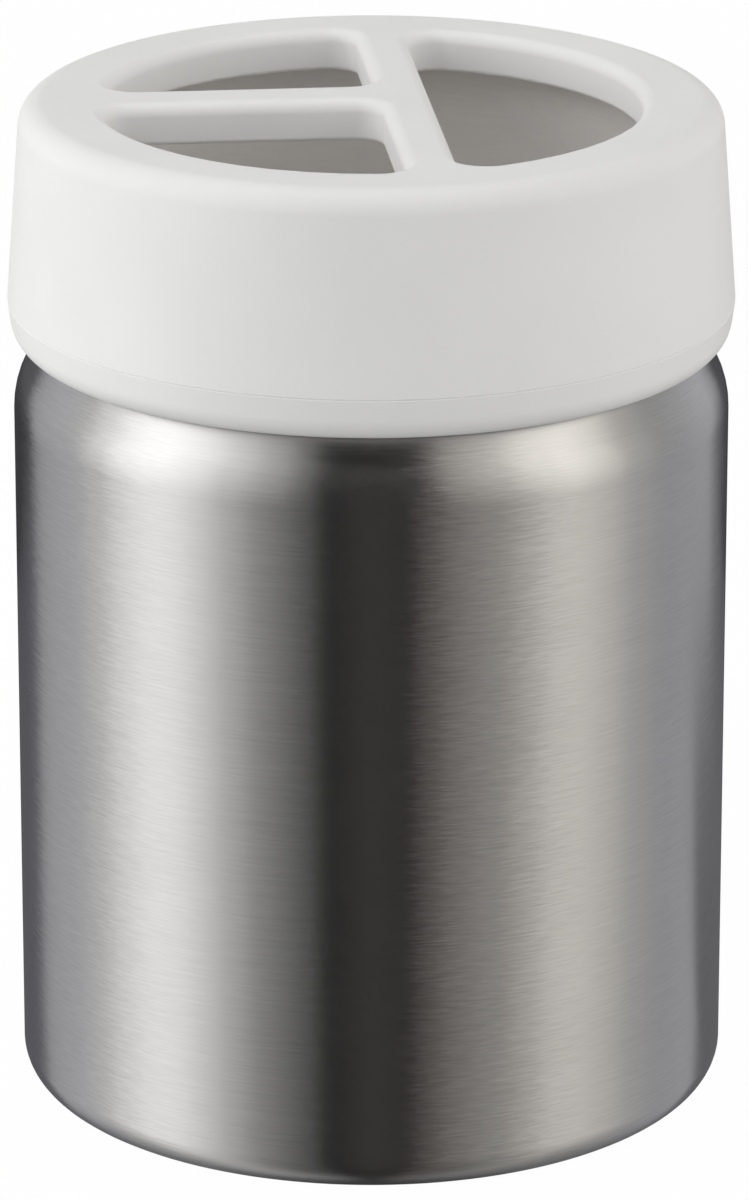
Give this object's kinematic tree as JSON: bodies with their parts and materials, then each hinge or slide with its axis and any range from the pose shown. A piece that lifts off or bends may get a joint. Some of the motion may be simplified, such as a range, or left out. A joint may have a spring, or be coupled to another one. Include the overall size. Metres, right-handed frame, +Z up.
{
  "type": "toothbrush holder",
  "caption": "Free-standing toothbrush holder: a brushed steel can with a white lift-off lid, whose off-centre T of bars parts the top into openings for brushes and paste.",
  "frame": {"origin": "centre of the foot pad's underside, on the surface that the holder stands on", "axes": "+Z up along the can's axis, Y along the lid's long bar, -X along its short bar"},
  "size_m": [0.071, 0.071, 0.101],
  "materials": {
    "brushed_steel": "satin, brushed round the can",
    "white_plastic": "fine matt moulding",
    "soft_ring": "matt silicone",
    "foot_rubber": "matt"
  },
  "bodies": {
    "can": {"steel_can": "brushed_steel", "foot_pad": "foot_rubber"},
    "grip_ring": {"grip_ring": "soft_ring"},
    "lid": {"lid_cover": "white_plastic", "lid_collar": "white_plastic"}
  },
  "joints": [
    {"name": "lid_lift", "type": "slide", "parent": "can", "child": "grip_ring", "axis": [0, 0, 1], "range_m": [0, 0.03]},
    {"name": "lid_turn", "type": "hinge", "parent": "grip_ring", "child": "lid", "pos_m": [0, 0, 0.0866], "axis": [0, 0, 1], "continuous": true}
  ]
}
